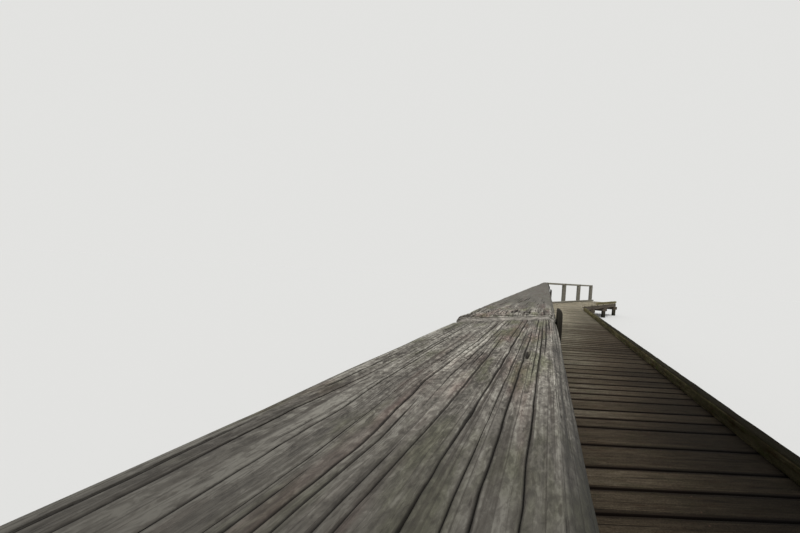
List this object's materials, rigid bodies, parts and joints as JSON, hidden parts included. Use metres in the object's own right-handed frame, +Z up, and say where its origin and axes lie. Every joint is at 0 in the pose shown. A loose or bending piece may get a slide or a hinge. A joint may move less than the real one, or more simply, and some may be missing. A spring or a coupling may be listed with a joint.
{
  "type": "timber jetty with a cap rail",
  "caption": "Weathered timber boardwalk on piles in bays, with a heavy cap rail on posts on the lake side, a low kerb on the shore side and a turned last bay.",
  "frame": {"origin": "centre of the foot of the first rail post, at the level on which all the piles stand", "axes": "+Z up, +Y along the straight run towards the bend, +X from the rail across the deck to the shore"},
  "size_m": [4.2089, 25.8967, 1.615],
  "materials": {
    "cap_rail": "weathered grey, cracked",
    "post": "dark, damp",
    "deck_board": "weathered, worn",
    "kerb": "weathered, mossy",
    "frame_timber": "weathered, sawn"
  },
  "bodies": {
    "root": {"cap_rail_1": "cap_rail", "cap_rail_2": "cap_rail", "cap_rail_3": "cap_rail", "cap_rail_4": "cap_rail", "cap_rail_5": "cap_rail", "cap_rail_6": "cap_rail", "rail_posts_1": "post", "rail_posts_2": "post", "rail_posts_3": "post", "rail_posts_4": "post", "rail_posts_5": "post", "rail_posts_6": "post", "foot_kerb_1": "kerb", "foot_kerb_2": "kerb", "foot_kerb_3": "kerb", "foot_kerb_4": "kerb", "foot_kerb_5": "kerb", "foot_kerb_6": "kerb", "deck_boards_1": "deck_board", "deck_boards_2": "deck_board", "deck_boards_3": "deck_board", "deck_boards_4": "deck_board", "deck_boards_5": "deck_board", "deck_boards_6": "deck_board", "shore_kerb_1": "kerb", "shore_kerb_2": "kerb", "shore_kerb_3": "kerb", "shore_kerb_4": "kerb", "shore_kerb_5": "kerb", "shore_kerb_6": "kerb", "shore_piles_1": "post", "shore_piles_2": "post", "shore_piles_3": "post", "shore_piles_4": "post", "shore_piles_5": "post", "shore_piles_6": "post", "bearers_1": "frame_timber", "bearers_2": "frame_timber", "bearers_3": "frame_timber", "bearers_4": "frame_timber", "bearers_5": "frame_timber", "bearers_6": "frame_timber", "lake_stringer": "frame_timber", "middle_stringer": "frame_timber", "shore_stringer": "frame_timber"}
  },
  "joints": []
}
